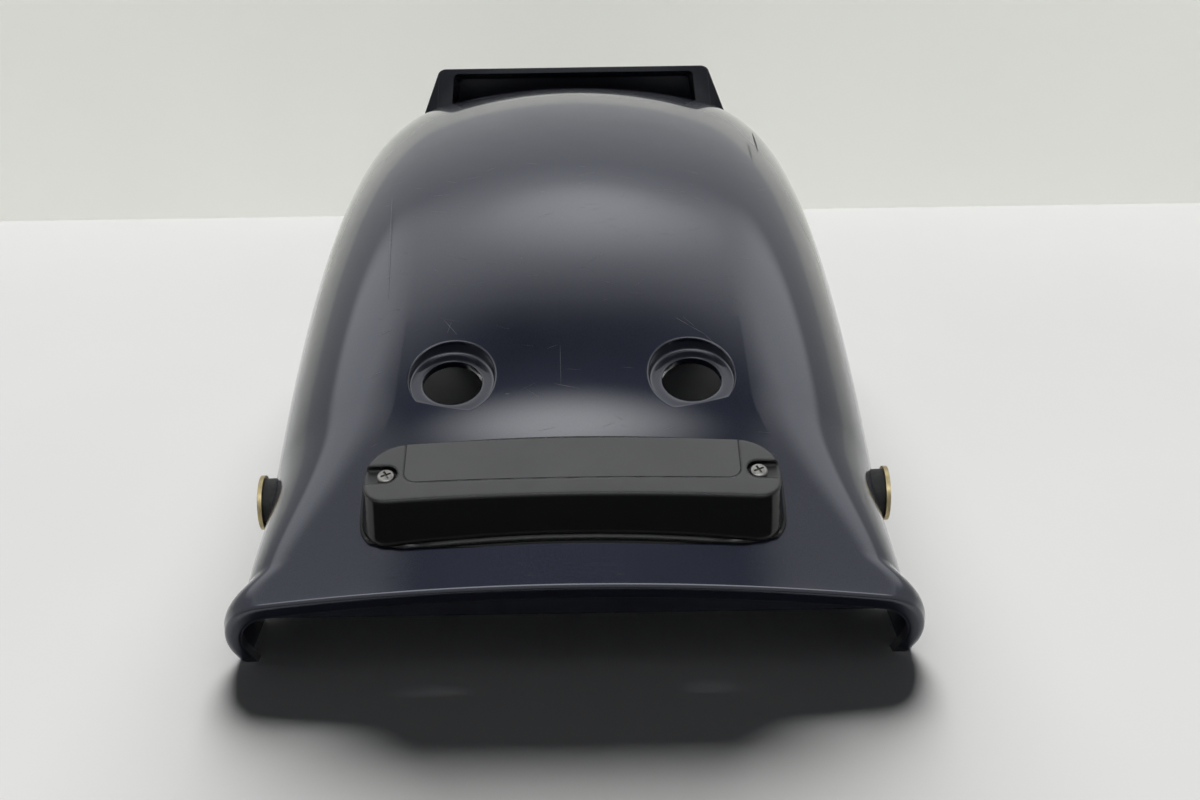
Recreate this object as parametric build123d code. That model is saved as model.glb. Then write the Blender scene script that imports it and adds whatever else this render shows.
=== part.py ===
from build123d import *
import math
import os

# Rear section of a motorcycle rear fender, with its licence plate light and mounting collars.
# Millimetres. It lies as it rests: X to the right, Y from the rear lip to the front edge, Z up.
# The shapes below are worked out with Y = 0 at the lip and are centred when they are written.

# Crown line, the top of the shell seen from the side
shell_length = 402.0
apex_from_lip = 262.0
apex_height = 150.0
crown_line_radius = 345.0
straight_run = 47.1

# Cross-sections of the shell, from lip to front edge
wall = 3.0
lip_half_width = 131.1
rear_half_width = 131.0
front_half_width = 116.0
flare_length = 12.0
lip_tilt = 14.0
lip_crown_radius = 840.0
front_crown_radius = 290.0
crown_blend_length = 278.0
lip_shoulder_radius = 18.5
body_shoulder_radius = 60.0
shoulder_blend_length = 68.0
lip_draft = -28.0
body_draft = 4.0
flare_steps = 5
station_spacing = [0.06, 0.09, 0.14, 0.20, 0.28, 0.38, 0.50, 0.63, 0.76, 0.87, 0.95, 1.0]
end_overrun = 5.0

# Bottom edge of the side walls
foot_length = 30.0
bottom_arch_rise = 26.0

# Rolled bead of the lip and the stiffening web set back under it
bead_depth = 6.0
bead_radius = 2.8
lip_thickness = 4.0
web_depth = 15.5
web_setback = 1.4

# Two recessed seats for the plate bracket
seat_spacing = 96.8
seat_from_lip = 74.5
seat_slope = 21.5
seat_depth = 3.7
seat_diameter = 35.0
seat_hole_diameter = 24.4

# Hood at the front edge, open to the rear
hood_length = 42.0
hood_front_setback = 2.5
hood_top_width = 146.0
hood_base_width = 153.0
hood_skirt_width = 172.0
hood_skirt_setback = 3.0
hood_height = 11.8
hood_root_depth = 34.0
hood_roof_slope = 18.0
hood_corner_radius = 4.0
hood_inner_corner = 3.0
hood_rim = 8.0
hood_roof = 2.8
hood_front_wall = 3.0
hood_floor_gap = 0.2

# Plate light, in its own tilted frame: v runs up the slope, w is its normal
light_from_lip = 18.0
light_front_height = 16.4
light_slope = 19.0
light_width = 160.0
light_length = 28.6
light_arch_radius = 1400.0
light_back_bow = 1.5
light_front_corner = 9.0
light_rear_corner = 16.0
light_front_rake = 29.0
light_end_draft = 6.0
light_skirt_depth = 18.0
light_wall = 2.2
light_edge_radius = 1.0
gasket_thickness = 0.8
base_thickness = 1.2
gasket_rim = 0.8

# Lens let into the cover, wrapped over its upper edge
lens_width = 130.0
lens_front_margin = 8.2
lens_corner_radius = 5.0
lens_clearance = 0.15
cavity_end_margin = 1.0
cavity_back_margin = 4.5

# Cover screws, with washers and nuts on bosses under the shell
screw_spacing = 144.0
screw_from_front = 13.0
screw_diameter = 3.9
screw_head_diameter = 7.0
screw_head_height = 2.4
screw_hole_clearance = 0.25
screw_tip_length = 1.2
cross_slot_length = 4.2
cross_slot_width = 0.9
cross_slot_depth = 1.3
cross_slot_angle = 25.0
notch_width = 9.2
notch_depth = 2.7
boss_diameter = 12.0
boss_length = 7.4
washer_diameter = 9.0
washer_thickness = 0.8
nut_across_flats = 7.0
nut_height = 3.2
thread_clearance = 0.05

# Lamp well, bulbs and sockets
well_width = 92.0
well_length = 18.0
well_from_front = 5.0
well_depth = 24.0
well_wall = 1.8
well_clearance = 0.5
bulb_diameter = 9.0
bulb_length = 19.0
bulb_neck_diameter = 7.0
bulb_neck_length = 2.0
bulb_shoulder_length = 3.0
cap_diameter = 8.4
cap_length = 9.0
cap_stand_out = 1.5
cap_clearance = 0.1
socket_diameter = 12.4
socket_length = 11.0
bulb_axis_depth = 14.5
grommet_hole_diameter = 8.0
grommet_flange_diameter = 11.0
grommet_bore_diameter = 4.0
grommet_flange_thickness = 1.2

# Mounting collars in rubber grommets, one in each side wall
collar_from_lip = 71.0
collar_height = 37.5
collar_flange_diameter = 22.5
collar_flange_thickness = 1.8
collar_tube_diameter = 10.0
collar_bore_diameter = 6.6
rubber_hole_diameter = 15.0
rubber_flange_diameter = 20.0
rubber_outer_flange = 2.2
rubber_inner_flange = 2.2

# Lengths of cutting tools: right through, and just past a face
reach = 400.0
cut_past = 1.0


def lerp(first, last, share):
    return first + (last - first) * share


def smooth(share):
    share = min(max(share, 0.0), 1.0)
    return share * share * (3.0 - 2.0 * share)


def crown_slope(y):
    """Slope angle of the crown line, in radians, straight near the lip."""
    return math.asin((apex_from_lip - max(y, straight_run)) / crown_line_radius)


def crown_height(y):
    """Height of the crown line above the floor."""
    on_arc = max(y, straight_run)
    run = apex_from_lip - on_arc
    height = apex_height - crown_line_radius + math.sqrt(crown_line_radius**2 - run**2)
    return height - (on_arc - y) * math.tan(crown_slope(on_arc))


def crown_radius(y):
    return lerp(lip_crown_radius, front_crown_radius, smooth(y / crown_blend_length))


def section_tilt(y):
    return math.radians(lip_tilt) * (1.0 - y / apex_from_lip)


def section_plane(y):
    """Plane of the cross-section at y: local x to the right, local y up along the section."""
    tilt = section_tilt(y)
    return Plane((0, y, crown_height(y)), x_dir=(1, 0, 0), z_dir=(0, -math.cos(tilt), -math.sin(tilt)))


def section_edges(y, inset):
    """Crown arc, shoulder arcs and walls of one cross-section, moved inwards by inset."""
    flare = smooth(1.0 - (y - bead_radius) / flare_length)
    body_half = lerp(rear_half_width, front_half_width, y / shell_length)
    half = body_half + (lip_half_width - rear_half_width) * flare
    draft = math.radians(lerp(body_draft, lip_draft, flare))
    top = crown_radius(y)
    shoulder = lerp(lip_shoulder_radius, body_shoulder_radius, smooth(y / shoulder_blend_length))
    depth = crown_height(y) / math.cos(section_tilt(y))
    normal = Vector(math.cos(draft), math.sin(draft))
    wall_line = half * normal.X - depth * normal.Y

    # Shoulder centre: one shoulder radius inside the wall and inside the crown arc
    offset = (wall_line - shoulder) / normal.X
    lean = normal.Y / normal.X
    a = lean**2 + 1.0
    b = top - offset * lean
    c = offset**2 + top**2 - (top - shoulder) ** 2
    centre_y = (-b + math.sqrt(b * b - a * c)) / a
    centre = Vector(offset - lean * centre_y, centre_y)
    crown_centre = Vector(0, -top)
    aim = (centre - crown_centre).normalized()

    crown_end = crown_centre + aim * (top - inset)
    shoulder_mid = centre + (aim + normal).normalized() * (shoulder - inset)
    shoulder_end = centre + normal * (shoulder - inset)
    down = (depth + foot_length + shoulder_end.Y) / math.cos(draft)
    foot = shoulder_end + Vector(math.sin(draft), -math.cos(draft)) * down

    def mirrored(point):
        return Vector(-point.X, point.Y)

    return [
        Line(mirrored(foot), mirrored(shoulder_end)),
        ThreePointArc(mirrored(shoulder_end), mirrored(shoulder_mid), mirrored(crown_end)),
        ThreePointArc(mirrored(crown_end), Vector(0, -inset), crown_end),
        ThreePointArc(crown_end, shoulder_mid, shoulder_end),
        Line(shoulder_end, foot),
    ]


def section_face(y, inset, plane=None):
    """Cross-section closed below the floor, on its own plane or on the one given."""
    edges = section_edges(y, inset)
    closing = Line(edges[-1] @ 1, edges[0] @ 0)
    return (plane or section_plane(y)) * make_face(edges + [closing])


def shell_volume(stations, inset):
    return loft([section_face(y, inset) for y in stations])


def skin_height(x, y):
    """Height of the outer skin near the crown."""
    return crown_height(y) - x * x / (2.0 * crown_radius(y))


def post(plane, x, y, diameter, low, high):
    """Round bar along a plane's normal, from low to high."""
    bar = Cylinder(diameter / 2, high - low, align=(Align.CENTER, Align.CENTER, Align.MIN))
    return plane * Pos(x, y, low) * bar


# Outer and inner forms of the shell
lip_plane = section_plane(0.0)
stations = [0.0]
stations += [bead_radius + flare_length * step / flare_steps for step in range(flare_steps + 1)]
stations += [share * shell_length for share in station_spacing]
outer_form = shell_volume(stations, 0.0)
inner_form = shell_volume([-end_overrun] + stations + [shell_length + end_overrun], wall)

# Plate light frame
slope = math.radians(light_slope)
light_y = light_from_lip
light_z = crown_height(light_y) + light_front_height
light_normal = Vector(0, -math.sin(slope), math.cos(slope))
light_plane = Plane((0, light_y, light_z), x_dir=(1, 0, 0), z_dir=light_normal)


def skin_depth(x, v):
    """How far below the light's top plane the skin lies, along the light's normal."""
    y = light_y + v * math.cos(slope)
    z = light_z + v * math.sin(slope)
    steep = math.tan(crown_slope(y))
    return (z - skin_height(x, y)) / (math.cos(slope) + steep * math.sin(slope))


def raised_form(height):
    """The outer form moved out along the light's normal, for layers that follow the skin."""
    return Pos(light_normal * height) * outer_form


screw_x = screw_spacing / 2
screw_v = screw_from_front
boss_end = -skin_depth(screw_x, screw_v) - boss_length
screw_hole = screw_diameter + 2 * screw_hole_clearance
notch_floor = -screw_x**2 / (2 * light_arch_radius) - notch_depth
well_v = well_from_front + well_length / 2
hood_y = shell_length - hood_length

# Seats for the plate bracket
seat_angle = math.radians(seat_slope)
seat_z = skin_height(seat_spacing / 2, seat_from_lip) - seat_depth / math.cos(seat_angle)
seat_normal = Vector(0, -math.sin(seat_angle), math.cos(seat_angle))
seat_plane = Plane((0, seat_from_lip, seat_z), x_dir=(1, 0, 0), z_dir=seat_normal)


def hood_profile(y, top, half_top, half_base, base, corner):
    """Upright section of the hood with rounded upper corners."""
    side = Polyline((-half_base, base), (-half_top, top), (half_top, top), (half_base, base), close=True)
    face = make_face(side)
    upper = face.vertices().sort_by(Axis.Y)[-2:]
    plane = Plane((0, y, 0), x_dir=(1, 0, 0), z_dir=(0, -1, 0))
    return plane * fillet(upper, corner)


def make_hood():
    """Solid block of the hood and the tunnel that is cut into it."""
    front = shell_length - hood_front_setback
    top = crown_height(hood_y) + hood_height
    drop = (front - hood_y) * math.tan(math.radians(hood_roof_slope))
    base = top - hood_root_depth
    half_top = hood_top_width / 2
    half_base = hood_base_width / 2
    half_skirt = hood_skirt_width / 2
    skirt_y = hood_y + hood_skirt_setback
    skirt_top = top - hood_skirt_setback * math.tan(math.radians(hood_roof_slope))

    def block(y, rear_top, base_half):
        rear = hood_profile(y, rear_top, half_top, base_half, base, hood_corner_radius)
        fore = hood_profile(front, top - drop, half_top, base_half, base - drop, hood_corner_radius)
        return loft([rear, fore])

    frame = block(hood_y, top, half_base)
    skirt = block(skirt_y, skirt_top, half_skirt)
    end = front - hood_front_wall
    fall = (end - hood_y) * math.tan(math.radians(hood_roof_slope))
    lead = hood_y - hood_rim
    rise = hood_rim * math.tan(math.radians(hood_roof_slope))
    tunnel = loft([
        hood_profile(lead, top + rise - hood_roof, half_top - hood_rim, half_base - hood_rim,
                     base + rise, hood_inner_corner),
        hood_profile(end, top - fall - hood_roof, half_top - hood_rim, half_base - hood_rim,
                     base - fall, hood_inner_corner),
    ])
    clear_skin = Pos(0, 0, hood_floor_gap) * outer_form
    return frame + skirt, tunnel - clear_skin


def round_lip(form):
    """Round the outer edge of the lip where the bead rolls over."""
    lip_face = form.faces().filter_by(GeomType.PLANE).sort_by(Axis.Y)[0]
    rim = lip_face.edges().sort_by(Axis.Z)[1:]
    return fillet(rim, bead_radius)


def make_hollow():
    """Wheel side of the shell: the inner form, closed at the lip down to the bead and the web."""
    ahead = Box(4 * reach, 4 * reach, 4 * reach, align=(Align.CENTER, Align.CENTER, Align.MAX))
    hollow = inner_form & (lip_plane * Pos(0, 0, -lip_thickness) * ahead)
    below = Pos(0, -web_depth) * Rectangle(reach, reach, align=(Align.CENTER, Align.MAX))
    above = Pos(0, -web_depth) * Rectangle(reach, reach, align=(Align.CENTER, Align.MIN))
    mouth = section_face(0.0, bead_depth, Plane.XY)
    hollow += lip_prism(mouth & below, lip_thickness + cut_past)
    return hollow, lip_prism(mouth & above, web_setback)


def lip_prism(face, depth):
    """Prism on the lip plane, from behind the lip to a depth ahead of it."""
    return lip_plane * Pos(0, 0, -depth) * extrude(face, depth + reach / 10)


def make_ground_cut():
    """Everything below the bottom edge: flat feet at both ends and a shallow arch between."""
    rear = crown_height(0.0) * math.tan(section_tilt(0.0)) + foot_length
    tilt = section_tilt(shell_length)
    front = shell_length + crown_height(shell_length) * math.tan(tilt) - foot_length
    line = [
        Line((-reach, 0), (rear, 0)),
        ThreePointArc((rear, 0), ((rear + front) / 2, bottom_arch_rise), (front, 0)),
        Polyline((front, 0), (2 * reach, 0), (2 * reach, -reach), (-reach, -reach), (-reach, 0)),
    ]
    side = Plane((0, 0, 0), x_dir=(0, 1, 0), z_dir=(1, 0, 0)) * make_face(line)
    return extrude(side, reach, both=True)


def make_well_block(margin):
    """Block of the lamp well, or with a margin the opening that clears it."""
    block = Box(well_width + 2 * margin, well_length + 2 * margin, well_depth + reach,
                align=(Align.CENTER, Align.CENTER, Align.MIN))
    return light_plane * Pos(0, well_v, -well_depth) * block


def make_shell():
    hood, tunnel = make_hood()
    hollow, web_recess = make_hollow()
    for side in (-1, 1):
        x = side * seat_spacing / 2
        hollow -= post(seat_plane, x, 0, seat_diameter + 2 * wall, -wall, reach / 4)
        hollow -= post(light_plane, side * screw_x, screw_v, boss_diameter, boss_end, reach / 4)
    shell = round_lip(outer_form) + hood - tunnel - hollow - web_recess - make_ground_cut()
    shell -= make_well_block(well_clearance)
    for side in (-1, 1):
        x = side * seat_spacing / 2
        shell -= post(seat_plane, x, 0, seat_diameter, 0, reach / 4)
        shell -= post(seat_plane, x, 0, seat_hole_diameter, -reach / 4, reach / 4)
        shell -= post(light_plane, side * screw_x, screw_v, screw_hole, boss_end - cut_past, reach / 4)
        shell -= post(collar_plane(side), 0, 0, rubber_hole_diameter, -reach / 10, reach / 10)
    return shell


def collar_plane(side):
    """Axis of one side collar, pointing outwards, with its origin on the wall's outer face."""
    half = lerp(rear_half_width, front_half_width, collar_from_lip / shell_length)
    x = half - collar_height * math.tan(math.radians(body_draft))
    return Plane((side * x, collar_from_lip, collar_height), x_dir=(0, 1, 0), z_dir=(side, 0, 0))


def light_outline(w, grow):
    """Outline of the light at depth w below its top plane: raked front, drafted ends."""
    spread = -w * math.tan(math.radians(light_end_draft)) + grow
    half = light_width / 2 + spread
    front = w * math.tan(math.radians(light_front_rake)) - grow
    back = light_length + grow
    sides = Polyline((-half, back), (-half, front), (half, front), (half, back))
    rear = ThreePointArc((half, back), (0, back + light_back_bow), (-half, back))
    outline = make_face([sides, rear])
    corners = outline.vertices().sort_by(Axis.Y)
    outline = fillet(corners[:2], light_front_corner + spread)
    corners = outline.vertices().filter_by(lambda v: abs(v.Y - back) < 0.01)
    outline = fillet(corners, light_rear_corner + grow)
    return Pos(0, 0, w) * outline


def light_body(grow, lower):
    """Body of the light with an arched top, grown or shrunk all round, in its own frame."""
    body = loft([light_outline(-light_skirt_depth, grow), light_outline(0.0, grow)])
    radius = light_arch_radius - lower
    arch = Rot(90, 0, 0) * Cylinder(radius, reach)
    return body & (Pos(0, 0, -light_arch_radius) * arch)


def window_block(margin):
    """Prism of the lens window, open over the light's upper edge."""
    front = lens_front_margin + margin
    half = lens_width / 2 - margin
    block = Box(2 * half, light_length, 2 * light_skirt_depth,
                align=(Align.CENTER, Align.MIN, Align.CENTER))
    block = Pos(0, front, 0) * block
    corners = block.edges().filter_by(Axis.Z).sort_by(Axis.Y)[:2]
    return fillet(corners, lens_corner_radius - margin)


def make_light():
    """Gasket, base, cover and lens, each cut to the skin it follows."""
    footprint = light_plane * light_body(gasket_rim, 0.0)
    on_gasket = raised_form(gasket_thickness)
    on_base = raised_form(gasket_thickness + base_thickness)
    gasket = (footprint & on_gasket) - outer_form - make_well_block(well_clearance)
    well = make_well_block(0.0)
    base = (footprint + well) & on_base
    base = base - (on_gasket - well)
    inner_well = Box(well_width - 2 * well_wall, well_length - 2 * well_wall, well_depth + reach,
                     align=(Align.CENTER, Align.CENTER, Align.MIN))
    base -= light_plane * Pos(0, well_v, well_wall - well_depth) * inner_well

    envelope = light_body(0.0, 0.0)
    rim = envelope.faces().sort_by(Axis.Z)[-1].edges()
    front_rim = [edge for edge in rim if edge.center().Y < light_length - light_edge_radius]
    rounded = fillet(front_rim, light_edge_radius)
    cavity_half = lens_width / 2 + cavity_end_margin
    cavity = light_body(-light_wall, light_wall)
    limit = Box(2 * cavity_half, reach, reach, align=(Align.CENTER, Align.MAX, Align.CENTER))
    cavity &= Pos(0, light_length - cavity_back_margin, 0) * limit
    hollow = rounded - cavity
    cover = hollow - window_block(0.0)
    lens = hollow & window_block(lens_clearance)
    for side in (-1, 1):
        slot = Cylinder(notch_width / 2, reach / 4, align=(Align.CENTER, Align.CENTER, Align.MIN))
        slot += Pos(side * reach / 8, 0, 0) * Box(
            reach / 4, notch_width, reach / 4, align=(Align.CENTER, Align.CENTER, Align.MIN))
        cover -= Pos(side * screw_x, screw_v, notch_floor) * slot
        cover -= Pos(side * screw_x, screw_v, 0) * Cylinder(screw_hole / 2, reach)
        bar = post(light_plane, side * screw_x, screw_v, screw_hole, -reach / 4, reach / 4)
        base -= bar
        gasket -= bar
    cover = light_plane * cover - on_base
    lens = light_plane * lens - on_base
    grommet_hole = post(light_plane, 0, well_v, grommet_hole_diameter,
                        -well_depth - cut_past, well_wall - well_depth + cut_past)
    return gasket, base - grommet_hole, cover, lens


def make_screws():
    """Cross-slot pan head screws, with their washers and nuts under the bosses."""
    head_top = notch_floor + screw_head_height
    nut_face = boss_end - washer_thickness
    tip = nut_face - nut_height - screw_tip_length
    screws = []
    washers = []
    nuts = []
    for side in (-1, 1):
        x = side * screw_x
        head = post(light_plane, x, screw_v, screw_head_diameter, notch_floor, head_top)
        top_edge = head.edges().sort_by(lambda edge: edge.center().dot(light_normal))[-1:]
        head = fillet(top_edge, screw_head_height / 2)
        for angle in (cross_slot_angle, cross_slot_angle + 90):
            slot = Box(cross_slot_length, cross_slot_width, 2 * cross_slot_depth)
            head -= light_plane * Pos(x, screw_v, head_top) * Rot(0, 0, angle) * slot
        shank = post(light_plane, x, screw_v, screw_diameter, tip, notch_floor)
        screws.append((head + shank).solid())
        bore = screw_diameter + 2 * thread_clearance
        washer = post(light_plane, x, screw_v, washer_diameter, nut_face, boss_end)
        washer -= post(light_plane, x, screw_v, screw_hole, nut_face - cut_past, boss_end + cut_past)
        washers.append(washer.solid())
        hexagon = RegularPolygon(nut_across_flats / 2, 6, major_radius=False)
        nut = light_plane * Pos(x, screw_v, nut_face - nut_height) * extrude(hexagon, nut_height)
        nut -= post(light_plane, x, screw_v, bore, tip, nut_face + cut_past)
        nuts.append(nut.solid())
    return Compound(screws), Compound(washers), Compound(nuts)


def make_bulb(side):
    """Glass, cap and socket of one bulb, lying along X with the socket on the well's end wall."""
    end = well_width / 2 - well_wall
    axis = light_plane * Plane((side * end, well_v, -bulb_axis_depth), x_dir=(0, 1, 0), z_dir=(-side, 0, 0))
    socket = Cylinder(socket_diameter / 2, socket_length, align=(Align.CENTER, Align.CENTER, Align.MIN))
    seat = socket_length - cap_length + cap_stand_out
    socket -= Pos(0, 0, seat) * Cylinder(
        cap_diameter / 2 + cap_clearance, socket_length, align=(Align.CENTER, Align.CENTER, Align.MIN))
    cap = Pos(0, 0, seat) * Cylinder(
        cap_diameter / 2, cap_length, align=(Align.CENTER, Align.CENTER, Align.MIN))
    start = seat + cap_length
    glass_radius = bulb_diameter / 2
    tip = start + bulb_length
    neck = bulb_neck_diameter / 2
    shoulder = start + bulb_neck_length
    profile = [
        Polyline((0, start), (neck, start), (neck, shoulder),
                 (glass_radius, shoulder + bulb_shoulder_length), (glass_radius, tip - glass_radius)),
        ThreePointArc((glass_radius, tip - glass_radius),
                      (glass_radius * math.sqrt(0.5), tip - glass_radius + glass_radius * math.sqrt(0.5)),
                      (0, tip)),
        Line((0, tip), (0, start)),
    ]
    glass = revolve(Plane.XZ * make_face(profile), Axis.Z)
    return axis * glass, axis * cap, axis * socket


def make_wire_grommet():
    """Rubber grommet in the floor of the lamp well."""
    flange = grommet_flange_thickness
    outer = post(light_plane, 0, well_v, grommet_hole_diameter, -well_depth, well_wall - well_depth)
    outer += post(light_plane, 0, well_v, grommet_flange_diameter, -well_depth - flange, -well_depth)
    outer += post(light_plane, 0, well_v, grommet_flange_diameter, well_wall - well_depth,
                  well_wall - well_depth + flange)
    return outer - post(light_plane, 0, well_v, grommet_bore_diameter, -reach / 4, 0)


def make_side_mount(side):
    """Rubber grommet and flanged steel collar of one side wall."""
    plane = collar_plane(side)
    inner_end = -wall - rubber_inner_flange
    rubber = post(plane, 0, 0, rubber_flange_diameter, inner_end, rubber_outer_flange)
    groove = rubber & outer_form
    groove -= inner_form
    groove -= post(plane, 0, 0, rubber_hole_diameter, -reach / 10, reach / 10)
    rubber -= groove
    rubber -= post(plane, 0, 0, collar_tube_diameter, inner_end - cut_past, rubber_outer_flange + cut_past)
    collar = post(plane, 0, 0, collar_tube_diameter, inner_end, rubber_outer_flange)
    collar += post(plane, 0, 0, collar_flange_diameter, rubber_outer_flange,
                   rubber_outer_flange + collar_flange_thickness)
    collar -= post(plane, 0, 0, collar_bore_diameter, inner_end - cut_past, reach / 4)
    return rubber, collar


# The shell is written before its form is used again for the pieces that follow it
shell = make_shell()
span = shell.bounding_box()
centring = Pos(0, -round((span.min.Y + span.max.Y) / 2, 3), 0)
print("moved by", centring.position)
os.makedirs("parts", exist_ok=True)


def write(name, piece):
    export_step(centring * piece, f"parts/{name}.step")
    print(name, len(piece.solids()), round(piece.volume, 1))


write("fender_shell", shell)
gasket, base, cover, lens = make_light()
screws, washers, nuts = make_screws()
write("light_gasket", gasket)
write("light_base", base)
write("light_cover", cover)
write("light_lens", lens)
write("cover_screws", screws)
write("light_washers", washers)
write("light_nuts", nuts)
write("wire_grommet", make_wire_grommet())
for side, name in ((-1, "left"), (1, "right")):
    glass, cap, socket = make_bulb(side)
    write(f"bulb_glass_{name}", glass)
    write(f"bulb_cap_{name}", cap)
    write(f"bulb_socket_{name}", socket)
    rubber, collar = make_side_mount(side)
    write(f"side_grommet_{name}", rubber)
    write(f"side_collar_{name}", collar)
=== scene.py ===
import math

import bpy
import numpy as np
from mathutils import Matrix, Vector


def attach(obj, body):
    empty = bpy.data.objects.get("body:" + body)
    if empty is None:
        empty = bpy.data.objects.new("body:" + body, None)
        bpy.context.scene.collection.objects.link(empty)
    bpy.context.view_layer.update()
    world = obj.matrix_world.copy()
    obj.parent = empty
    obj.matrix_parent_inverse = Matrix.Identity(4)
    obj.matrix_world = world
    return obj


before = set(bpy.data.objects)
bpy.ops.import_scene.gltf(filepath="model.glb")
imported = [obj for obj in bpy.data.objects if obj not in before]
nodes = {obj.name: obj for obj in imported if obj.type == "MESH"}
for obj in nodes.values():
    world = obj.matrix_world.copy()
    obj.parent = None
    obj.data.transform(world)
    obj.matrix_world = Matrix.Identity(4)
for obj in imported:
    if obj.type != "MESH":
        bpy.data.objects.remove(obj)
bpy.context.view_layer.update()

# Motorcycle rear fender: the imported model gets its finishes, a smooth coat of paint over the shell,
# scratches, a floor, a wall, soft light and the photograph's camera. Shapes are worked out in
# millimetres with Y = 0 at the lip, as in the model's source, and moved to the frame in metres.

MM = 0.001
LIP_Y = -201.176

# Crown line and cross-sections of the shell, as in the model's source
SHELL_LENGTH = 402.0
APEX_FROM_LIP = 262.0
APEX_HEIGHT = 150.0
CROWN_LINE_RADIUS = 345.0
STRAIGHT_RUN = 47.1
LIP_HALF_WIDTH = 131.1
REAR_HALF_WIDTH = 131.0
FRONT_HALF_WIDTH = 116.0
FLARE_LENGTH = 12.0
LIP_TILT = math.radians(14.0)
LIP_CROWN_RADIUS = 840.0
FRONT_CROWN_RADIUS = 290.0
CROWN_BLEND_LENGTH = 278.0
LIP_SHOULDER_RADIUS = 18.5
BODY_SHOULDER_RADIUS = 60.0
SHOULDER_BLEND_LENGTH = 68.0
LIP_DRAFT = math.radians(-28.0)
BODY_DRAFT = math.radians(4.0)
FOOT_LENGTH = 30.0
BOTTOM_ARCH_RISE = 26.0
BEAD_DEPTH = 6.0
BEAD_RADIUS = 2.8
WEB_SETBACK = 1.4
SEAT_SPACING = 96.8
SEAT_FROM_LIP = 74.5
SEAT_SLOPE = math.radians(21.5)
SEAT_DEPTH = 3.7
SEAT_RADIUS = 17.5
SEAT_HOLE_RADIUS = 12.2
SEAT_WALL = 3.0
COLLAR_FROM_LIP = 71.0
COLLAR_HEIGHT = 37.5
LIGHT_SLOPE = math.radians(19.0)

# How the paint meets the seats, the collars and the edges of the moulding
SEAT_RUN_OUT = 0.25
SEAT_BLOCK_HALF = 22.5
SEAT_BLOCK_ROWS = (50.0, 99.0)
COLLAR_CUT_RADIUS = 8.6
SIDE_WALL_X = 100.0
EDGE_FOLD = 0.6
FLOOR_CLEAR = 0.02
STROKE_LIFT = 0.03

# The paint lies this far outside the moulding. It also closes false openings in the moulding's side walls
PAINT = 0.2


def lerp(first, last, share):
    return first + (last - first) * share


def smooth(share):
    share = min(max(share, 0.0), 1.0)
    return share * share * (3.0 - 2.0 * share)


def crown_slope(y):
    return math.asin((APEX_FROM_LIP - max(y, STRAIGHT_RUN)) / CROWN_LINE_RADIUS)


def crown_height(y):
    on_arc = max(y, STRAIGHT_RUN)
    run = APEX_FROM_LIP - on_arc
    height = APEX_HEIGHT - CROWN_LINE_RADIUS + math.sqrt(CROWN_LINE_RADIUS**2 - run**2)
    return height - (on_arc - y) * math.tan(crown_slope(on_arc))


def crown_radius(y):
    return lerp(LIP_CROWN_RADIUS, FRONT_CROWN_RADIUS, smooth(y / CROWN_BLEND_LENGTH))


def section_tilt(y):
    return LIP_TILT * (1.0 - y / APEX_FROM_LIP)


def section(y):
    """Centres, radii and directions of the arcs and walls of the cross-section at y."""
    flare = smooth(1.0 - (y - BEAD_RADIUS) / FLARE_LENGTH)
    body_half = lerp(REAR_HALF_WIDTH, FRONT_HALF_WIDTH, y / SHELL_LENGTH)
    half = body_half + (LIP_HALF_WIDTH - REAR_HALF_WIDTH) * flare
    draft = lerp(BODY_DRAFT, LIP_DRAFT, flare)
    top = crown_radius(y)
    shoulder = lerp(LIP_SHOULDER_RADIUS, BODY_SHOULDER_RADIUS, smooth(y / SHOULDER_BLEND_LENGTH))
    depth = crown_height(y) / math.cos(section_tilt(y))
    normal = np.array([math.cos(draft), math.sin(draft)])
    wall_line = half * normal[0] - depth * normal[1]
    offset = (wall_line - shoulder) / normal[0]
    lean = normal[1] / normal[0]
    a = lean**2 + 1.0
    b = top - offset * lean
    c = offset**2 + top**2 - (top - shoulder) ** 2
    centre_y = (-b + math.sqrt(b * b - a * c)) / a
    centre = np.array([offset - lean * centre_y, centre_y])
    aim = centre - np.array([0.0, -top])
    return {
        "top": top, "shoulder": shoulder, "centre": centre, "depth": depth,
        "crown_angle": math.atan2(aim[0], aim[1]), "wall_angle": math.pi / 2 - draft, "draft": draft,
    }


def lift(x, h, y):
    """Point of the cross-section at y, from its own plane to space."""
    tilt = section_tilt(y)
    return np.array([x, y - h * math.sin(tilt), crown_height(y) + h * math.cos(tilt)])


def bottom_height(y):
    """Height of the side wall's bottom edge."""
    rear = crown_height(0.0) * math.tan(section_tilt(0.0)) + FOOT_LENGTH
    front = SHELL_LENGTH + crown_height(SHELL_LENGTH) * math.tan(section_tilt(SHELL_LENGTH)) - FOOT_LENGTH
    if y <= rear or y >= front:
        return 0.0
    half = (front - rear) / 2
    radius = (half**2 + BOTTOM_ARCH_RISE**2) / (2 * BOTTOM_ARCH_RISE)
    return BOTTOM_ARCH_RISE - radius + math.sqrt(radius**2 - (y - rear - half) ** 2)


WALL_STEPS = 20
SHOULDER_STEPS = 40
CROWN_STEPS = 128


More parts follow.
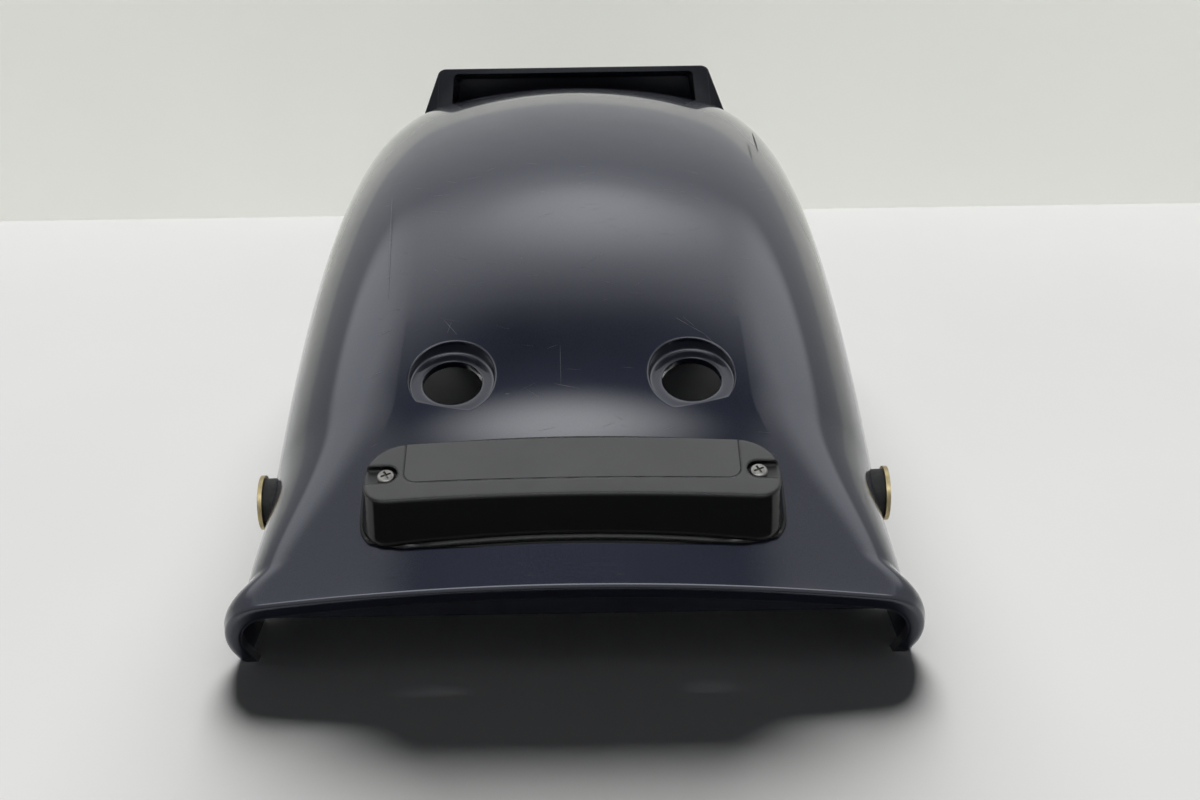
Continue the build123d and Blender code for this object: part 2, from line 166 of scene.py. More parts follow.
def half_profile(y, proud):
    """Right half of the section at y, from the crown's middle to the bottom edge."""
    s = section(y)
    points = []
    for k in range(CROWN_STEPS // 2 + 1):
        angle = s["crown_angle"] * k / (CROWN_STEPS // 2)
        r = s["top"] + proud
        points.append((r * math.sin(angle), r * math.cos(angle) - s["top"]))
    for k in range(1, SHOULDER_STEPS + 1):
        angle = lerp(s["crown_angle"], s["wall_angle"], k / SHOULDER_STEPS)
        r = s["shoulder"] + proud
        points.append((s["centre"][0] + r * math.sin(angle), s["centre"][1] + r * math.cos(angle)))
    start = np.array(points[-1])
    down = np.array([math.sin(s["draft"]), -math.cos(s["draft"])])
    low, high = 0.0, s["depth"] * 1.5
    for _ in range(40):
        middle = (low + high) / 2
        x, h = start + down * middle
        place = lift(x, h, y)
        if place[2] > bottom_height(place[1]) + 0.3:
            low = middle
        else:
            high = middle
    for k in range(1, WALL_STEPS + 1):
        points.append(tuple(start + down * low * k / WALL_STEPS))
    return points


def profile(y, proud):
    """Whole section at y in space, from the left bottom edge to the right one."""
    right = half_profile(y, proud)
    flat = [(-x, h) for x, h in right[:0:-1]] + right
    return np.array([lift(x, h, y) for x, h in flat])


def crown_point(x, y, proud=PAINT):
    """Point of the painted crown at a section's own x."""
    r = crown_radius(y) + proud
    return lift(x, math.sqrt(r * r - x * x) - crown_radius(y), y)


def to_frame(points):
    moved = np.array(points, dtype=float)
    moved[:, 1] += LIP_Y
    return moved * MM


def new_object(name, points, faces, normals=None):
    mesh = bpy.data.meshes.new(name)
    mesh.from_pydata([tuple(p) for p in to_frame(points)], [], faces)
    mesh.polygons.foreach_set("use_smooth", [True] * len(mesh.polygons))
    mesh.validate()
    if normals is not None:
        mesh.normals_split_custom_set_from_vertices([tuple(n) for n in normals])
    obj = bpy.data.objects.new(name, mesh)
    bpy.context.scene.collection.objects.link(obj)
    return obj


def seat_frame(side):
    """Origin and axes of one bracket seat: across, up the slope, and out."""
    x = side * SEAT_SPACING / 2
    z = crown_height(SEAT_FROM_LIP) - x * x / (2 * crown_radius(SEAT_FROM_LIP))
    z -= SEAT_DEPTH / math.cos(SEAT_SLOPE)
    across = np.array([1.0, 0.0, 0.0])
    up = np.array([0.0, math.cos(SEAT_SLOPE), math.sin(SEAT_SLOPE)])
    out = np.array([0.0, -math.sin(SEAT_SLOPE), math.cos(SEAT_SLOPE)])
    return np.array([x, SEAT_FROM_LIP, z]), across, up, out


def skin_over_seat(side, angle, radius):
    """Section coordinates and height above the seat of the skin, at a place seen along the seat's axis."""
    origin, across, up, out = seat_frame(side)
    u = radius * math.cos(angle)
    v = radius * math.sin(angle)
    x, y = origin[0] + u, SEAT_FROM_LIP + v
    for _ in range(30):
        d = crown_point(x, y) - origin
        x += u - d @ across
        y += 0.9 * (v - d @ up)
    d = crown_point(x, y) - origin
    return x, y, d @ out


def seat_rim(side, angle):
    """Radius and height of the pocket's rim: the full radius, or where the seat runs out of the skin."""
    height = skin_over_seat(side, angle, SEAT_RADIUS)[2]
    if height > SEAT_RUN_OUT:
        return SEAT_RADIUS, height
    low, high = SEAT_HOLE_RADIUS + 1.2, SEAT_RADIUS
    for _ in range(24):
        middle = (low + high) / 2
        if skin_over_seat(side, angle, middle)[2] > SEAT_RUN_OUT:
            low = middle
        else:
            high = middle
    return low, SEAT_RUN_OUT


def bezier(a, b, c, steps):
    """Points of a rounded corner at b, after a and up to c."""
    points = []
    for k in range(1, steps + 1):
        t = k / steps
        points.append((1 - t) ** 2 * a + 2 * t * (1 - t) * b + t * t * c)
    return points


def surface_normals(grid):
    """Outward normals of a grid of points, evened along each section."""
    along = np.gradient(grid, axis=0)
    across = np.gradient(grid, axis=1)
    normals = np.cross(across, along)
    normals /= np.linalg.norm(normals, axis=2, keepdims=True)
    weights = np.exp(-0.5 * (np.arange(-7, 8) / 3.2) ** 2)
    weights /= weights.sum()
    padded = np.pad(normals, ((0, 0), (7, 7), (0, 0)), mode="edge")
    evened = sum(w * padded[:, k:k + grid.shape[1]] for k, w in enumerate(weights))
    return evened / np.linalg.norm(evened, axis=2, keepdims=True)


def make_paint():
    """Painted skin of the shell: a fine grid with its rolled lip and the two bracket seats."""
    flare_end = BEAD_RADIUS + FLARE_LENGTH
    stations = np.concatenate([
        np.arange(BEAD_RADIUS, flare_end, 0.6), np.arange(flare_end, 46.0, 1.5), np.arange(46.0, 106.0, 2.0),
        np.arange(106.0, SHELL_LENGTH, 4.0), [SHELL_LENGTH]])
    grid = np.array([profile(y, PAINT) for y in stations])
    rows, columns = grid.shape[:2]
    grid_normals = surface_normals(grid)
    points = [p for row in grid for p in row]
    normals = [n for row in grid_normals for n in row]
    plain = np.zeros(3)
    faces = []

    def index(row, column):
        return row * columns + column

    # Blocks of the grid that the seats take
    middle = (columns - 1) // 2
    blocks = []
    for side in (-1, 1):
        row_low = int(np.searchsorted(stations, SEAT_BLOCK_ROWS[0]))
        row_high = int(np.searchsorted(stations, SEAT_BLOCK_ROWS[1]))
        across = [grid[(row_low + row_high) // 2, c, 0] for c in range(columns)]
        first = int(np.searchsorted(across, side * SEAT_SPACING / 2 - SEAT_BLOCK_HALF))
        last = int(np.searchsorted(across, side * SEAT_SPACING / 2 + SEAT_BLOCK_HALF))
        blocks.append((side, row_low, row_high, first, last))

    for row in range(rows - 1):
        for column in range(columns - 1):
            if any(r0 <= row < r1 and c0 <= column < c1 for _, r0, r1, c0, c1 in blocks):
                continue
            centre = (grid[row, column] + grid[row + 1, column + 1]) / 2
            from_collar = math.hypot(centre[1] - COLLAR_FROM_LIP, centre[2] - COLLAR_HEIGHT)
            if abs(centre[0]) > SIDE_WALL_X and from_collar < COLLAR_CUT_RADIUS:
                continue
            faces.append((index(row, column), index(row, column + 1),
                          index(row + 1, column + 1), index(row + 1, column)))

    def add_ring(ring, ring_normals=None):
        start = len(points)
        points.extend(ring)
        normals.extend(ring_normals if ring_normals is not None else [plain] * len(ring))
        return list(range(start, start + len(ring)))

    def join(outer, inner, closed):
        count = len(outer)
        for k in range(count if closed else count - 1):
            n = (k + 1) % count
            faces.append((outer[k], outer[n], inner[n], inner[k]))

    # Rolled lip: the skin turns over the bead, runs down its face and back under it
    edge = profile(0.0, PAINT)
    tilt = section_tilt(0.0)
    forward = np.array([0.0, math.cos(tilt), math.sin(tilt)])
    tangents = grid[0] - edge
    lengths = np.linalg.norm(tangents, axis=1, keepdims=True)
    tangents /= lengths
    inward = np.cross(np.gradient(edge, axis=0), forward)
    inward /= np.linalg.norm(inward, axis=1, keepdims=True)
    below = np.array([0.0, edge[middle, 1], edge[middle, 2] - 60.0])
    inward *= np.sign(np.sum(inward * (below - edge), axis=1, keepdims=True))
    edge = edge - forward * PAINT
    cosine = np.sum(tangents * inward, axis=1, keepdims=True)
    turn = BEAD_RADIUS / np.tan(np.arccos(np.clip(cosine, -1, 1)) / 2)
    turn = np.minimum(turn, lengths * 0.95)
    rings = [[edge[k] + tangents[k] * turn[k] for k in range(columns)]]
    start_ring = np.array(rings[0])
    end_ring = edge + inward * turn
    for step in range(1, 9):
        t = step / 8
        # A circle's arc between two tangents, as a rational curve
        weight = np.sqrt((1 - cosine) / 2)
        share = (1 - t) ** 2 + 2 * t * (1 - t) * weight + t * t
        rings.append(((1 - t) ** 2 * start_ring + 2 * t * (1 - t) * weight * edge + t * t * end_ring) / share)
    face_end = edge + inward * (BEAD_DEPTH - 1.0)
    for step in range(1, 5):
        rings.append(end_ring + (face_end - end_ring) * step / 4)
    under = edge + inward * BEAD_DEPTH
    back = under + forward * (WEB_SETBACK + PAINT + EDGE_FOLD)
    rings.extend(bezier(face_end, under, under + forward * 1.0, 5))
    rings.append(back)
    previous = [index(0, k) for k in range(columns)]
    for number, ring in enumerate(rings):
        ring = [np.array([p[0], p[1], max(p[2], FLOOR_CLEAR)]) for p in ring]
        current = add_ring(ring, list(grid_normals[0]) if number == 0 else None)
        join(current, previous, False)
        previous = current

    # Bottom and front edges fold in to meet the moulding
    for column in (0, columns - 1):
        aside = np.array([EDGE_FOLD if column == 0 else -EDGE_FOLD, 0.0, 0.0])
        fold = [grid[row, column] + aside for row in range(rows)]
        current = add_ring(fold)
        line = [index(row, column) for row in range(rows)]
        if column == 0:
            join(line, current, False)
        else:
            join(current, line, False)
    inner = profile(SHELL_LENGTH, -EDGE_FOLD)
    ring = add_ring(list(inner))
    join([index(rows - 1, k) for k in range(columns)], ring, False)

    for side, r0, r1, c0, c1 in blocks:
        make_seat(side, r0, r1, c0, c1, stations, grid, index, add_ring, join)
    return new_object("paint_skin", points, faces, normals)


def make_seat(side, r0, r1, c0, c1, stations, grid, index, add_ring, join):
    """One recessed seat: the skin closes in on the pocket, then rim, wall, floor ring and hole."""
    border = [(r0, c) for c in range(c0, c1)] + [(r, c1) for r in range(r0, r1)]
    border += [(r1, c) for c in range(c1, c0, -1)] + [(r, c0) for r in range(r1, r0, -1)]
    origin, across, up, out = seat_frame(side)
    angles = []
    outer_places = []
    for row, column in border:
        p = grid[row, column]
        d = p - origin
        angles.append(math.atan2(d @ up, d @ across))
        outer_places.append((p[0], stations[row]))
    rims = [seat_rim(side, angle) for angle in angles]
    inner_places = []
    for angle, (radius, height) in zip(angles, rims):
        x, y, _ = skin_over_seat(side, angle, radius + min(1.0, 0.45 * height + 0.1))
        inner_places.append((x, y))

    def normal_at(x, y):
        dx = crown_point(x + 0.05, y) - crown_point(x - 0.05, y)
        dy = crown_point(x, y + 0.05) - crown_point(x, y - 0.05)
        n = np.cross(dx, dy)
        return n / np.linalg.norm(n)

    previous = [index(row, column) for row, column in border]
    for step in range(1, 11):
        t = step / 10
        places = [(lerp(a[0], b[0], t), lerp(a[1], b[1], t)) for a, b in zip(outer_places, inner_places)]
        current = add_ring([crown_point(x, y) for x, y in places], [normal_at(x, y) for x, y in places])
        join(previous, current, True)
        previous = current

    def place(angle, radius, height):
        return origin + across * radius * math.cos(angle) + up * radius * math.sin(angle) + out * height

    rings = []
    floor = 0.1
    for k, (angle, (radius, height)) in enumerate(zip(angles, rims)):
        x, y = inner_places[k]
        round_top = min(1.0, 0.45 * height)
        round_low = min(1.6, 0.5 * height)
        wall = radius - 0.15
        start = crown_point(x, y)
        steps = bezier(start, place(angle, wall, height), place(angle, wall, height - round_top), 5)
        steps.append(place(angle, wall, lerp(height - round_top, floor + round_low, 0.5)))
        low = place(angle, wall, floor + round_low)
        steps.append(low)
        ring_edge = place(angle, wall - round_low, floor)
        steps.extend(bezier(low, place(angle, wall, floor), ring_edge, 5))
        hole = SEAT_HOLE_RADIUS - 0.1
        lip = place(angle, hole + 0.7, floor)
        for t in (0.33, 0.66, 1.0):
            steps.append(ring_edge + (lip - ring_edge) * t)
        down = place(angle, hole, floor - 0.7)
        steps.extend(bezier(lip, place(angle, hole, floor), down, 4))
        steps.append(place(angle, hole, -SEAT_WALL - 0.1))
        rings.append(steps)
    for level in range(len(rings[0])):
        current = add_ring([steps[level] for steps in rings])
        join(previous, current, True)
        previous = current


# Scratches, each from a start to an end on the skin, in mm from the middle and from the lip, and a width
SCRATCHES = [
    ((-53.0, 98.5), (-47.0, 91.0), 0.22), ((-51.0, 92.0), (-49.5, 97.0), 0.16),
    ((43.0, 97.0), (48.5, 93.5), 0.22), ((48.5, 93.5), (54.5, 90.0), 0.18), ((54.5, 90.0), (59.5, 84.5), 0.16),
    ((46.0, 97.5), (51.0, 93.0), 0.12), ((-4.7, 84.5), (-4.4, 68.0), 0.14), ((-7.0, 68.5), (3.0, 66.5), 0.20),
    ((-26.8, 65.3), (-24.8, 65.2), 0.35), ((-77.0, 112.0), (-81.0, 181.0), 0.16),
]
SCUFFS = [
    ((89.2, 266.0), (88.8, 230.0), 0.9), ((-71.0, 5.6), (-68.5, 5.5), 0.5), ((-18.0, 4.0), (-15.0, 4.0), 0.5),
    ((16.0, 3.9), (19.0, 3.9), 0.5),
]
FINE_SCRATCHES = 90


def make_strokes(name, strokes):
    """Thin strips that lie just above the paint."""
    points = []
    faces = []
    for (x0, y0), (x1, y1), width in strokes:
        length = math.hypot(x1 - x0, y1 - y0)
        steps = max(2, int(length / 2.0))
        aside = np.array([y0 - y1, x1 - x0]) / length * width / 2
        for k in range(steps + 1):
            t = k / steps
            thin = math.sin(math.pi * (0.08 + 0.84 * t))
            x, y = lerp(x0, x1, t), lerp(y0, y1, t)
            for way in (-1, 1):
                dx, dy = way * thin * aside
                points.append(crown_point(x + dx, y + dy, PAINT + STROKE_LIFT))
            if k:
                last = len(points) - 1
                faces.append((last - 3, last - 2, last, last - 1))
    return new_object(name, points, faces)


def fine_strokes():
    """Hairlines left by wiping, mostly across the part."""
    chance = np.random.default_rng(7)
    strokes = []
    while len(strokes) < FINE_SCRATCHES:
        x, y = chance.uniform(-85.0, 85.0), chance.uniform(46.0, 200.0)
        if math.hypot(abs(x) - SEAT_SPACING / 2, y - SEAT_FROM_LIP) < SEAT_RADIUS + 8.0:
            continue
        length, turn = chance.uniform(2.0, 9.0), chance.normal(0.0, 0.35)
        end = (x + length * math.cos(turn), y + length * math.sin(turn))
        strokes.append(((x, y), end, chance.uniform(0.04, 0.08)))
    return strokes


# Materials


def material(name):
    made = bpy.data.materials.new(name)
    made.use_nodes = True
    tree = made.node_tree
    return made, tree, tree.nodes["Principled BSDF"]


def link(tree, start, end):
    tree.links.new(start, end)


def coords(tree):
    return tree.nodes.new("ShaderNodeTexCoord").outputs["Object"]


def noise(tree, scale, detail=3.0, stretch=None):
    node = tree.nodes.new("ShaderNodeTexNoise")
    node.inputs["Scale"].default_value = scale
    node.inputs["Detail"].default_value = detail
    node.inputs["Roughness"].default_value = 0.55
    vector = coords(tree)
    if stretch:
        mapping = tree.nodes.new("ShaderNodeMapping")
        mapping.inputs["Scale"].default_value = stretch
        link(tree, vector, mapping.inputs["Vector"])
        vector = mapping.outputs["Vector"]
    link(tree, vector, node.inputs["Vector"])
    return node.outputs["Fac"]


def ramp(tree, value, stops):
    node = tree.nodes.new("ShaderNodeValToRGB")
    elements = node.color_ramp.elements
    while len(elements) < len(stops):
        elements.new(0.5)
    for element, (place, colour) in zip(elements, stops):
        element.position = place
        element.color = (*colour, 1.0)
    link(tree, value, node.inputs["Fac"])
    return node.outputs["Color"]


def ray_share(tree, output):
    """One kind of ray, as 0 or 1."""
    return tree.nodes.new("ShaderNodeLightPath").outputs[output]


def add(tree, first, second):
    node = tree.nodes.new("ShaderNodeMath")
    node.operation = "ADD"
    link(tree, first, node.inputs[0])
    link(tree, second, node.inputs[1])
    return node.outputs[0]


def mix(tree, share, first, second):
    """Colour between two, each a colour or a socket."""
    node = tree.nodes.new("ShaderNodeMix")
    node.data_type = "RGBA"
    link(tree, share, node.inputs["Factor"])
    for socket, value in ((node.inputs[6], first), (node.inputs[7], second)):
        if isinstance(value, tuple):
            socket.default_value = (*value, 1.0)
        else:
            link(tree, value, socket)
    return node.outputs[2]


def grey(value):
    return (value, value, value)


def bump(tree, height, strength, distance, normal=None):
    node = tree.nodes.new("ShaderNodeBump")
    node.inputs["Strength"].default_value = strength
    node.inputs["Distance"].default_value = distance
    link(tree, height, node.inputs["Height"])
    if normal is not None:
        link(tree, normal, node.inputs["Normal"])
    return node.outputs["Normal"]


def rounded(tree, radius):
    """Softened edges for the model's own meshes."""
    node = tree.nodes.new("ShaderNodeBevel")
    node.samples = 6
    node.inputs["Radius"].default_value = radius
    return node.outputs["Normal"]


def paint_material():
    made, tree, shader = material("navy_paint")
    flakes = noise(tree, 2600.0, 1.0)
    colour = ramp(tree, flakes, [(0.35, (0.006, 0.008, 0.022)), (0.7, (0.014, 0.018, 0.048))])
    link(tree, colour, shader.inputs["Base Color"])
    haze = noise(tree, 22.0, 4.0)
    link(tree, ramp(tree, haze, [(0.3, grey(0.30)), (0.75, grey(0.40))]), shader.inputs["Roughness"])
    shader.inputs["Metallic"].default_value = 0.55
    shader.inputs["Coat Weight"].default_value = 1.0
    shader.inputs["Coat Roughness"].default_value = 0.06
    shader.inputs["Coat IOR"].default_value = 1.6
    fine = noise(tree, 900.0, 2.0, stretch=(0.12, 1.0, 1.0))
    link(tree, bump(tree, fine, 0.02, 0.0003), shader.inputs["Normal"])
    return made


def moulded_material():
    """Inside and edges of the shell: the same colour, less bright."""
    made, tree, shader = material("moulded_navy")
    tone = noise(tree, 60.0, 4.0)
    link(tree, ramp(tree, tone, [(0.3, (0.010, 0.012, 0.022)), (0.75, (0.020, 0.024, 0.040))]),
         shader.inputs["Base Color"])
    grain = noise(tree, 700.0, 3.0)
    link(tree, ramp(tree, grain, [(0.3, grey(0.34)), (0.7, grey(0.46))]), shader.inputs["Roughness"])
    shader.inputs["Coat Weight"].default_value = 0.8
    shader.inputs["Coat Roughness"].default_value = 0.12
    link(tree, rounded(tree, 0.0009), shader.inputs["Normal"])
    return made


def plastic_material(name, dark, light, rough_low, rough_high, radius):
    made, tree, shader = material(name)
    tone = noise(tree, 45.0, 4.0)
    link(tree, ramp(tree, tone, [(0.3, dark), (0.75, light)]), shader.inputs["Base Color"])
    grain = noise(tree, 900.0, 3.0)
    rough = ramp(tree, grain, [(0.3, grey(rough_low)), (0.7, grey(rough_high))])
    link(tree, rough, shader.inputs["Roughness"])
    link(tree, bump(tree, grain, 0.06, 0.0002, rounded(tree, radius)), shader.inputs["Normal"])
    return made


def lamp_material(name, radius, top_tone_and_sheen, gloss):
    """Moulded plastic with a satin top and polished sides and edges, told apart by the way a face looks; the
    top is also painted a lighter grey than the black sides, a painted sheen of the light falling on it.
    """
    made, tree, shader = material(name)
    facing = tree.nodes.new("ShaderNodeVectorMath")
    facing.operation = "DOT_PRODUCT"
    facing.inputs[1].default_value = (0.0, -math.sin(LIGHT_SLOPE), math.cos(LIGHT_SLOPE))
    soft_edge = rounded(tree, radius)
    link(tree, soft_edge, facing.inputs[0])
    grain = noise(tree, 1100.0, 3.0)
    satin = ramp(tree, grain, [(0.3, grey(0.36)), (0.7, grey(0.46))])
    share = ramp(tree, facing.outputs["Value"], [(0.93, grey(0.0)), (0.985, grey(1.0))])
    link(tree, mix(tree, share, grey(gloss), satin), shader.inputs["Roughness"])
    tone = noise(tree, 45.0, 4.0)
    # Painted sheen: the top's grey stands in for light falling on it, while the sides stay black
    top = ramp(tree, tone, [(0.3, grey(0.85 * top_tone_and_sheen)), (0.75, grey(top_tone_and_sheen))])
    link(tree, mix(tree, share, grey(0.006), top), shader.inputs["Base Color"])
    link(tree, bump(tree, grain, 0.05, 0.0002, soft_edge), shader.inputs["Normal"])
    return made


def metal_material(name, colour, dull, roughness):
    made, tree, shader = material(name)
    tone = noise(tree, 160.0, 5.0)
    link(tree, ramp(tree, tone, [(0.35, dull), (0.7, colour)]), shader.inputs["Base Color"])
    shader.inputs["Metallic"].default_value = 1.0
    brushed = noise(tree, 1500.0, 2.0)
    link(tree, ramp(tree, brushed, [(0.3, grey(roughness)), (0.7, grey(roughness + 0.14))]),
         shader.inputs["Roughness"])
    link(tree, bump(tree, tone, 0.08, 0.0002, rounded(tree, 0.00025)), shader.inputs["Normal"])
    return made


def glass_material():
    made, tree, shader = material("bulb_glass")
    shader.inputs["Base Color"].default_value = (0.95, 0.95, 0.95, 1.0)
    shader.inputs["Transmission Weight"].default_value = 1.0
    shader.inputs["IOR"].default_value = 1.5
    smudge = noise(tree, 120.0, 3.0)
    link(tree, ramp(tree, smudge, [(0.3, grey(0.03)), (0.7, grey(0.1))]), shader.inputs["Roughness"])
    return made


def one_sided(tree, shader):
    """A floor or wall that is only there from its own side, so that views from behind it see the part."""
    joined = tree.nodes.new("ShaderNodeMixShader")
    link(tree, tree.nodes.new("ShaderNodeNewGeometry").outputs["Backfacing"], joined.inputs["Fac"])
    link(tree, shader.outputs["BSDF"], joined.inputs[1])
    link(tree, tree.nodes.new("ShaderNodeBsdfTransparent").outputs["BSDF"], joined.inputs[2])
    link(tree, joined.outputs["Shader"], tree.nodes["Material Output"].inputs["Surface"])


def pale_material(name, colour, spots, roughness):
    made, tree, shader = material(name)
    patches = noise(tree, 3.0, 5.0)
    link(tree, ramp(tree, patches, [(0.3, spots), (0.7, colour)]), shader.inputs["Base Color"])
    shader.inputs["Roughness"].default_value = roughness
    shader.inputs["Specular IOR Level"].default_value = 0.0
    one_sided(tree, shader)
    return made


def dress(name, made):
    data = nodes[name].data
    data.materials.clear()
    data.materials.append(made)


paint = paint_material()
moulded = moulded_material()
# The third number is a painted sheen: the grey painted on the tops of the lamp and the lens
lamp_black = lamp_material("lamp_black", 0.0018, 0.135, 0.08)
lens_smoke = lamp_material("lens_smoke", 0.0004, 0.155, 0.20)
rubber = plastic_material("black_rubber", grey(0.010), grey(0.018), 0.55, 0.75, 0.0004)
zinc = metal_material("zinc_steel", (0.72, 0.71, 0.69), (0.48, 0.47, 0.45), 0.22)
screw_steel = metal_material("screw_steel", (0.40, 0.39, 0.37), (0.20, 0.195, 0.185), 0.34)
yellow_zinc = metal_material("yellow_zinc", (0.62, 0.50, 0.27), (0.36, 0.30, 0.18), 0.32)
brass = metal_material("bulb_brass", (0.62, 0.47, 0.22), (0.45, 0.33, 0.15), 0.25)
glass = glass_material()
socket = plastic_material("socket_plastic", grey(0.07), grey(0.11), 0.5, 0.65, 0.0003)

dress("fender_shell", moulded)
for name in ("light_base", "light_cover"):
    dress(name, lamp_black)
dress("light_lens", lens_smoke)
for name in ("light_gasket", "wire_grommet", "side_grommet_left", "side_grommet_right"):
    dress(name, rubber)
dress("cover_screws", screw_steel)
for name in ("light_washers", "light_nuts"):
    dress(name, zinc)
for side in ("left", "right"):
    dress(f"side_collar_{side}", yellow_zinc)
    dress(f"bulb_glass_{side}", glass)
    dress(f"bulb_cap_{side}", brass)
    dress(f"bulb_socket_{side}", socket)

pale_mark = plastic_material(
    "pale_mark", (0.20, 0.21, 0.23), (0.30, 0.31, 0.33), 0.5, 0.6, 0.0001)
dark_mark = plastic_material(
    "dark_mark", (0.004, 0.004, 0.006), (0.008, 0.008, 0.010), 0.5, 0.6, 0.0001)
for piece, made in (
    (make_paint(), paint),
    (make_strokes("paint_scratches", SCRATCHES + fine_strokes()), pale_mark),
    (make_strokes("paint_scuffs", SCUFFS), dark_mark),
):
    piece.data.materials.append(made)
    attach(piece, "root")


# Floor, wall, light and camera


def sheet(name, corners, made):
    mesh = bpy.data.meshes.new(name)
    mesh.from_pydata(corners, [], [(0, 1, 2, 3)])
    obj = bpy.data.objects.new(name, mesh)
    bpy.context.scene.collection.objects.link(obj)
    mesh.materials.append(made)
    return obj


def wall_material():
    """The wall stands between the light and the part, so its pale side shows by itself to the camera."""
    made, tree, shader = material("wall_white")
    patches = noise(tree, 3.0, 5.0)
    shader.inputs["Base Color"].default_value = (0.5, 0.5, 0.49, 1.0)
    shader.inputs["Roughness"].default_value = 0.8
    glow = ramp(tree, patches, [(0.3, (0.46, 0.465, 0.43)), (0.7, (0.49, 0.495, 0.46))])
    seen = add(tree, ray_share(tree, "Is Camera Ray"), ray_share(tree, "Is Glossy Ray"))
    link(tree, glow, shader.inputs["Emission Color"])
    link(tree, seen, shader.inputs["Emission Strength"])
    one_sided(tree, shader)
    return made


floor_white = pale_material("floor_white", (0.80, 0.80, 0.785), (0.77, 0.77, 0.755), 0.55)
WALL_Y = 0.351
WALL_TOP = 0.2
FAR = 3.0
sheet("floor", [(-FAR, -FAR, 0), (FAR, -FAR, 0), (FAR, WALL_Y, 0), (-FAR, WALL_Y, 0)], floor_white)
wall = sheet("wall", [(-FAR, WALL_Y, 0), (FAR, WALL_Y, 0), (FAR, WALL_Y, WALL_TOP), (-FAR, WALL_Y, WALL_TOP)],
             wall_material())
wall.visible_shadow = False

# Cards: one stands at the open front end and only keeps light away; the other lies before the picture's edge, a
# painted shade that only reflections see, standing in for the shaded floor in front of the part
black = plastic_material("card_black", grey(0.004), grey(0.006), 0.7, 0.8, 0.0001)
SHADE_Y = (SHELL_LENGTH + LIP_Y + 1.0) * MM
shade = sheet("shade_card", [(-0.112, SHADE_Y, 0.0), (0.112, SHADE_Y, 0.0),
                             (0.100, SHADE_Y, 0.125), (-0.100, SHADE_Y, 0.125)], black)
shade.visible_camera = False
shade.visible_glossy = False
NEAR_HALF, NEAR_START, NEAR_END, NEAR_Z = 1.2, -1.6, -0.31, 0.002
# Painted shade: a black sheet seen only in reflections, in place of the floor's shade in front of the part
near = sheet("near_shade_card", [(-NEAR_HALF, NEAR_START, NEAR_Z), (NEAR_HALF, NEAR_START, NEAR_Z),
                           (NEAR_HALF, NEAR_END, NEAR_Z), (-NEAR_HALF, NEAR_END, NEAR_Z)], black)
near.visible_camera = False
near.visible_diffuse = False
near.visible_shadow = False


def place_light(name, kind, place, target):
    data = bpy.data.lights.new(name, kind)
    obj = bpy.data.objects.new(name, data)
    obj.location = place
    obj.rotation_euler = (Vector(target) - Vector(place)).to_track_quat("-Z", "Y").to_euler()
    bpy.context.scene.collection.objects.link(obj)
    return obj


def soft_panel(name, place, half_x, half_y, flat, radiance):
    """Glowing patch overhead for the glossy surfaces to mirror, even out to `flat` of its size, then fading."""
    made, tree, shader = material(name)
    tree.nodes.remove(shader)
    round_fade = tree.nodes.new("ShaderNodeTexGradient")
    round_fade.gradient_type = "SPHERICAL"
    link(tree, coords(tree), round_fade.inputs["Vector"])
    share = ramp(tree, round_fade.outputs["Fac"], [(0.0, grey(0.0)), (1.0 - flat, grey(1.0))])
    share.node.color_ramp.interpolation = "EASE"
    glow = tree.nodes.new("ShaderNodeEmission")
    glow.inputs["Color"].default_value = (0.97, 0.99, 1.0, 1.0)
    glow.inputs["Strength"].default_value = radiance
    joined = tree.nodes.new("ShaderNodeMixShader")
    link(tree, share, joined.inputs["Fac"])
    link(tree, tree.nodes.new("ShaderNodeBsdfTransparent").outputs["BSDF"], joined.inputs[1])
    link(tree, glow.outputs["Emission"], joined.inputs[2])
    link(tree, joined.outputs["Shader"], tree.nodes["Material Output"].inputs["Surface"])
    obj = sheet(name, [(-1, -1, 0), (1, -1, 0), (1, 1, 0), (-1, 1, 0)], made)
    obj.location = place
    obj.scale = (half_x, half_y, 1.0)
    obj.visible_camera = False
    obj.visible_diffuse = False
    obj.visible_shadow = False


# The main light comes from behind, so the part's shadow falls towards the camera
key = place_light("key", "SUN", (0.0, 2.0, 1.10), (0.0, 0.0, 0.0))
key.data.energy = 6.0
key.data.angle = math.radians(36.0)
key.visible_glossy = False

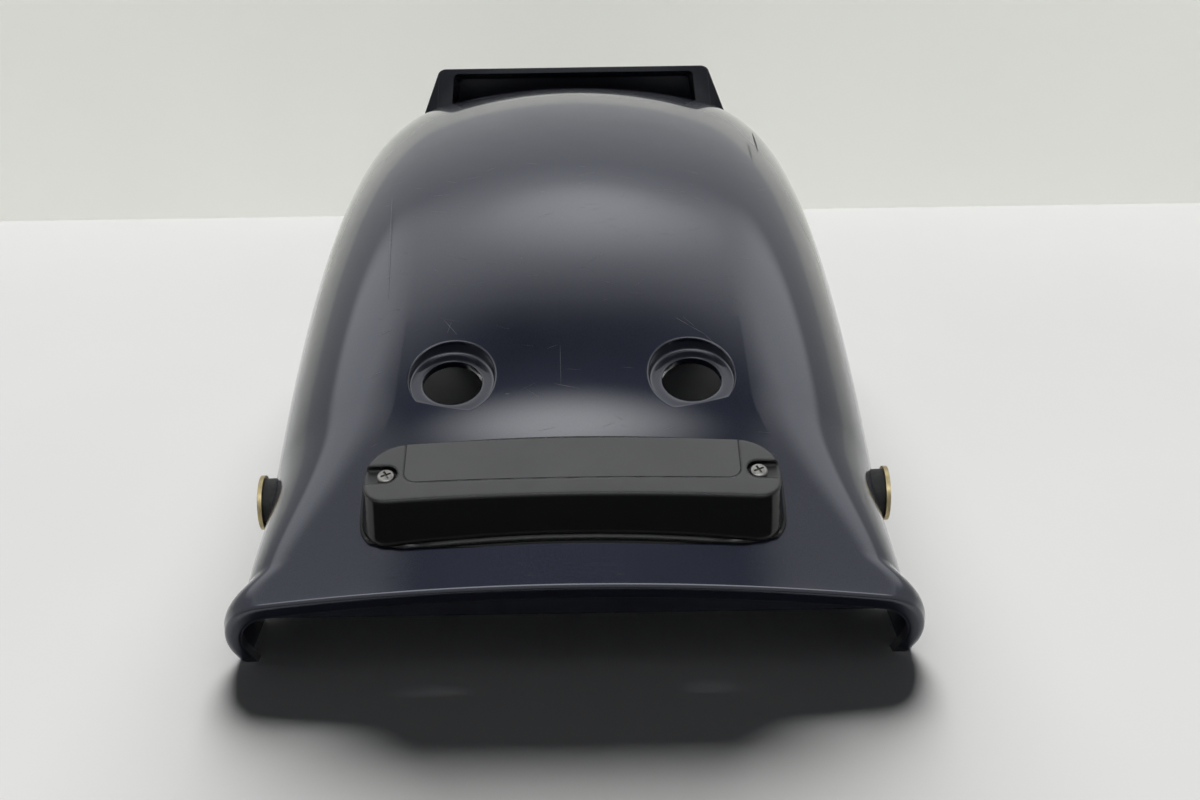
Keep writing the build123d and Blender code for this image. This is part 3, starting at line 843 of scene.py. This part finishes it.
# Broad light over the crown with a bright middle, glow behind the plate light, a strip for edges, both sides
soft_panel("window_wide", (0.02, 0.66, 1.20), 0.95, 0.66, 0.2, 1.30)
soft_panel("window_core", (0.04, 0.70, 1.19), 0.38, 0.36, 0.1, 2.2)
soft_panel("lamp_glow", (-0.03, -0.35, 1.20), 0.36, 0.18, 0.1, 4.0)
soft_panel("front_strip", (0.0, -1.15, 1.20), 1.3, 0.38, 0.6, 3.2)
for way in (-1, 1):
    soft_panel(f"side_high_{way}", (1.10 * way, 0.42, 1.21), 1.02, 1.0, 0.45, 1.5)
    soft_panel(f"side_low_{way}", (0.80 * way, -0.42, 1.21), 0.5, 0.45, 0.75, 1.1)

world = bpy.data.worlds.new("studio")
bpy.context.scene.world = world
world.use_nodes = True
sky = world.node_tree
direction = sky.nodes.new("ShaderNodeTexCoord").outputs["Generated"]
parts = sky.nodes.new("ShaderNodeSeparateXYZ")
link(sky, direction, parts.inputs[0])
mirrored = ramp(sky, parts.outputs["Z"], [
    (0.0, (0.46, 0.47, 0.47)), (0.45, (0.52, 0.53, 0.54)), (0.66, (0.52, 0.53, 0.55)),
    (0.85, (0.14, 0.15, 0.17)), (1.0, (0.04, 0.045, 0.06))])
ambient = (0.032, 0.033, 0.035)
backdrop = (0.48, 0.485, 0.45)
background = sky.nodes["Background"]
seen = mix(sky, ray_share(sky, "Is Glossy Ray"), ambient, mirrored)
link(sky, mix(sky, ray_share(sky, "Is Camera Ray"), seen, backdrop), background.inputs["Color"])
background.inputs["Strength"].default_value = 1.0


CAMERA_PLACE = (9.46, -540.0, 367.0)
CAMERA_PITCH = math.radians(25.0)
CAMERA_YAW = math.radians(0.162)
CAMERA_ROLL = math.radians(0.826)


def make_camera():
    """The photograph's camera, found from the part's own edges."""
    pitch, yaw, roll = CAMERA_PITCH, CAMERA_YAW, CAMERA_ROLL
    forward = Vector((math.sin(yaw) * math.cos(pitch), math.cos(yaw) * math.cos(pitch), -math.sin(pitch)))
    right = Vector((math.cos(yaw), -math.sin(yaw), 0.0))
    up = right.cross(forward)
    across = right * math.cos(roll) - up * math.sin(roll)
    above = right * math.sin(roll) + up * math.cos(roll)
    data = bpy.data.cameras.new("camera")
    data.lens = 50.0
    data.sensor_width = 36.0
    data.clip_start = 0.01
    obj = bpy.data.objects.new("camera", data)
    place = Vector((CAMERA_PLACE[0], CAMERA_PLACE[1] + LIP_Y, CAMERA_PLACE[2])) * MM
    obj.matrix_world = Matrix.Translation(place) @ Matrix((across, above, -forward)).transposed().to_4x4()
    bpy.context.scene.collection.objects.link(obj)
    bpy.context.scene.camera = obj


make_camera()
bpy.context.scene.view_settings.view_transform = "Standard"
